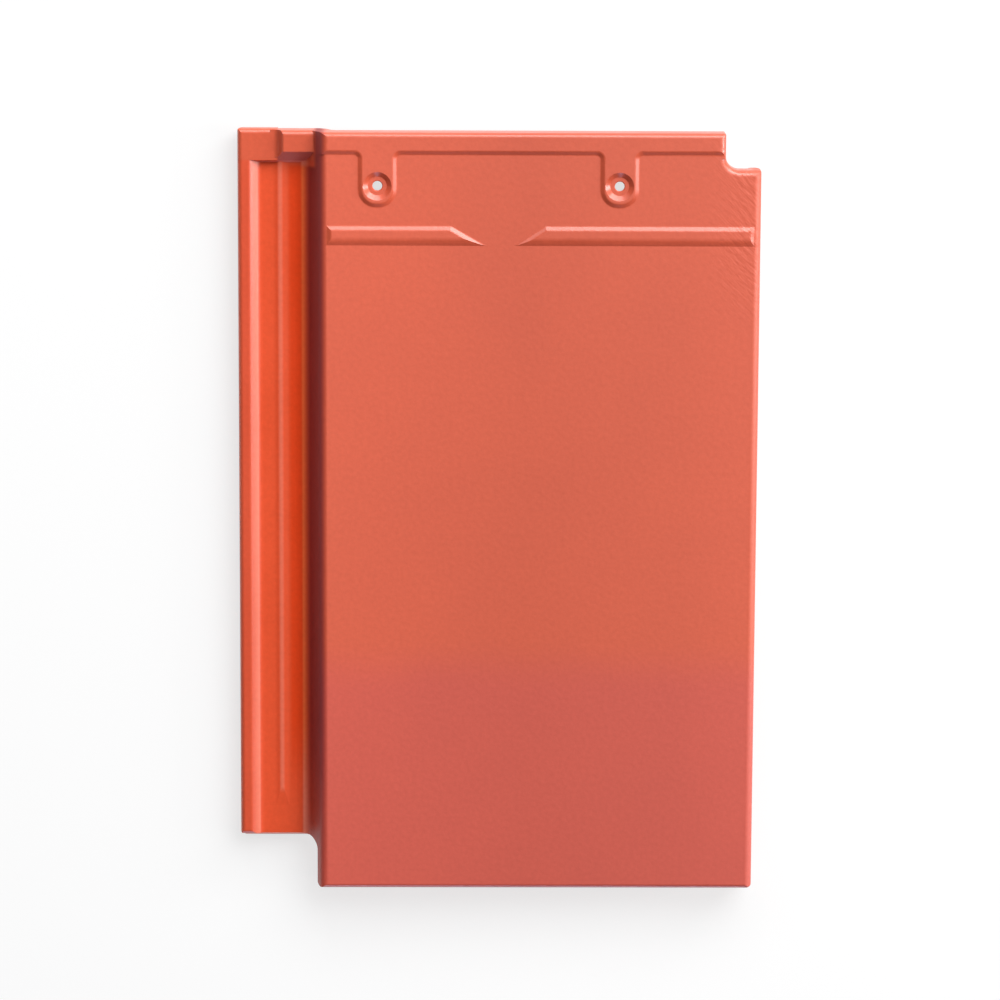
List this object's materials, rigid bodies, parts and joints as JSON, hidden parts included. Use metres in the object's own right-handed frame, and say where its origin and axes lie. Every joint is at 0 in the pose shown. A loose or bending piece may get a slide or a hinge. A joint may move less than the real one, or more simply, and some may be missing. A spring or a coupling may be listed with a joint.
{
  "type": "interlocking roof tile",
  "caption": "Flat interlocking clay roof tile with a side lock, head band with nail holes and weather bars, that sheds rain from a pitched roof.",
  "frame": {"origin": "centre of the tile's outline, in the plane of the bottoms of its tail rib and nibs", "axes": "+Y up the roof slope to the head edge, +Z out of the weathered face, +X across the roof from the side lock to the overlapping edge"},
  "size_m": [0.3, 0.446, 0.0298],
  "materials": {
    "fired_clay": "natural red engobe fired on clay, satin"
  },
  "bodies": {
    "root": {"clay_roof_tile": "fired_clay"}
  },
  "joints": []
}
